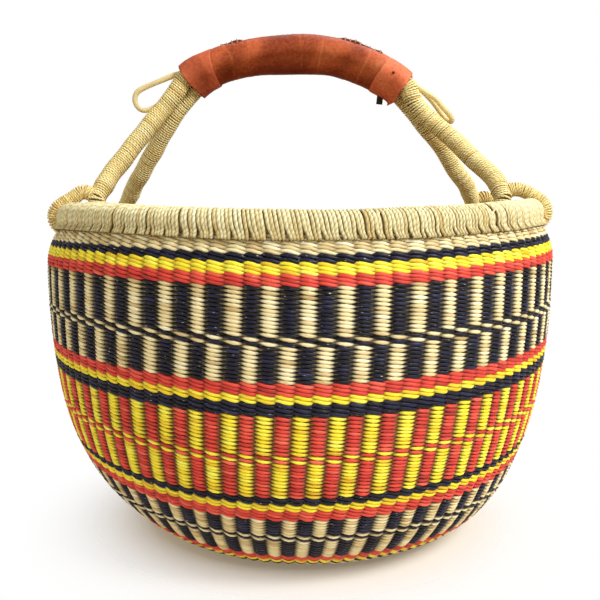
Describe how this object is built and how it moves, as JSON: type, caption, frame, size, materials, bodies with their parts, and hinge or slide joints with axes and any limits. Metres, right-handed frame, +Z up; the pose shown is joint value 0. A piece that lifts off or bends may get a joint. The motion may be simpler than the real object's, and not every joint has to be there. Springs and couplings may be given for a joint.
{
  "type": "woven basket",
  "caption": "Round bolga basket woven in striped and checked bands of coloured straw, with a wrapped rim roll and an arched double handle in a leather grip.",
  "frame": {"origin": "centre of the flat base, on the surface that the basket stands on", "axes": "+Z up, the handle spans along X, the front faces -Y"},
  "size_m": [0.404, 0.404, 0.3964],
  "materials": {
    "natural": "dry straw",
    "navy": "dyed straw, slight sheen",
    "yellow": "dyed straw",
    "red": "dyed straw",
    "navy_check": "navy and natural straw in turn, each one stake wide",
    "red_check": "red and yellow straw in turn, each one stake wide",
    "rim_cord": "twisted straw cord",
    "leg_cord": "twisted straw cord",
    "grass_core": "dry grass bundle",
    "leather": "red-brown goat leather, satin",
    "collar_leather": "orange-red goat leather, satin"
  },
  "bodies": {
    "root": {"natural_foot_band": "natural", "navy_foot_band": "navy", "yellow_foot_band": "yellow", "red_foot_band": "red", "lower_check_band": "navy_check", "red_lower_band": "red", "yellow_lower_band": "yellow", "navy_lower_band": "navy", "middle_check_band": "red_check", "navy_middle_band": "navy", "yellow_middle_band": "yellow", "red_middle_band": "red", "upper_check_band": "navy_check", "red_upper_band": "red", "yellow_upper_band": "yellow", "navy_upper_band": "navy", "natural_upper_band": "natural", "base_weave": "natural", "base_start_disc": "natural", "rim_core": "grass_core", "rim_wrap": "rim_cord", "front_arch_core": "grass_core", "front_arch_wrap": "leg_cord", "back_arch_core": "grass_core", "back_arch_wrap": "leg_cord", "front_left_binding": "leg_cord", "front_right_binding": "leg_cord", "back_left_binding": "leg_cord", "back_right_binding": "leg_cord", "front_left_outer_foot": "leg_cord", "front_right_outer_foot": "leg_cord", "back_left_outer_foot": "leg_cord", "back_right_outer_foot": "leg_cord", "leather_grip": "leather", "left_collar": "collar_leather", "right_collar": "collar_leather", "left_tail_loop": "leg_cord", "right_tail_loop": "leg_cord"}
  },
  "joints": []
}
